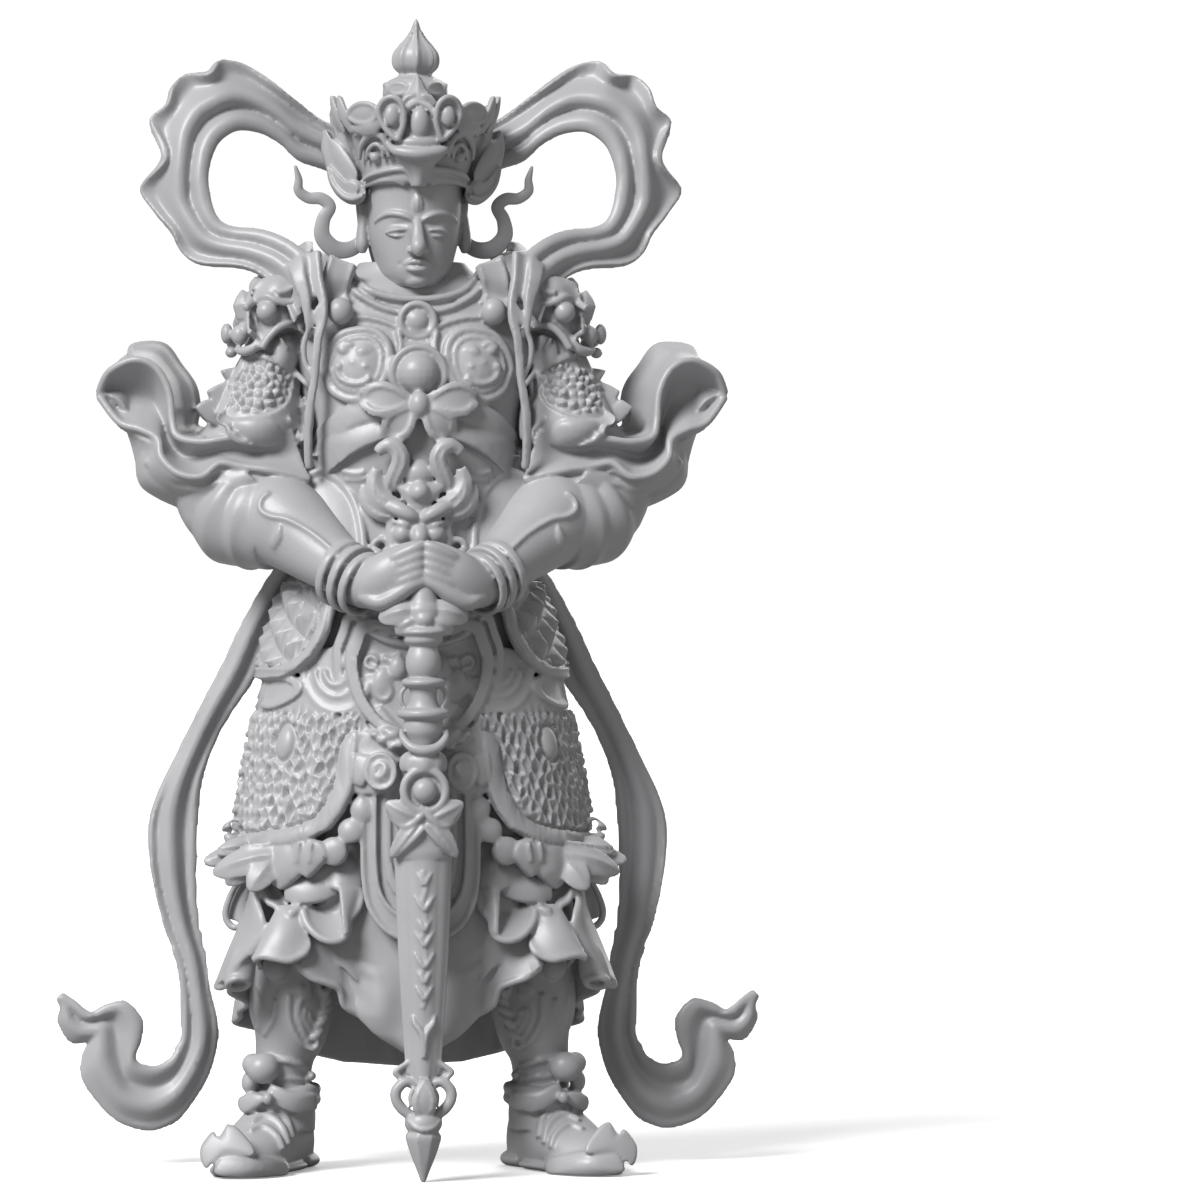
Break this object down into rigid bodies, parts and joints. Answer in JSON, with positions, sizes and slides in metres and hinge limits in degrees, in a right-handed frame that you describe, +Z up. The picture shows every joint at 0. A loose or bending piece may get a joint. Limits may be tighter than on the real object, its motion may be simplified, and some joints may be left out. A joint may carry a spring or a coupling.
{
  "type": "buddhist guardian deity statue",
  "caption": "Standing armoured guardian deity with a tall leafed crown and looping scarves, both hands resting on the pommel of a sheathed sword set point down.",
  "frame": {"origin": "middle of the bounding box at floor level, under the boots' soles", "axes": "+Z up from the soles to the crown's bud, the figure faces -Y, X runs across the shoulders"},
  "size_m": [1.135, 0.5461, 1.837],
  "materials": {
    "statue_grey": "fine smooth cast surface in one light grey, satin, uncoloured and unweathered"
  },
  "bodies": {
    "root": {"guardian_statue": "statue_grey"}
  },
  "joints": []
}
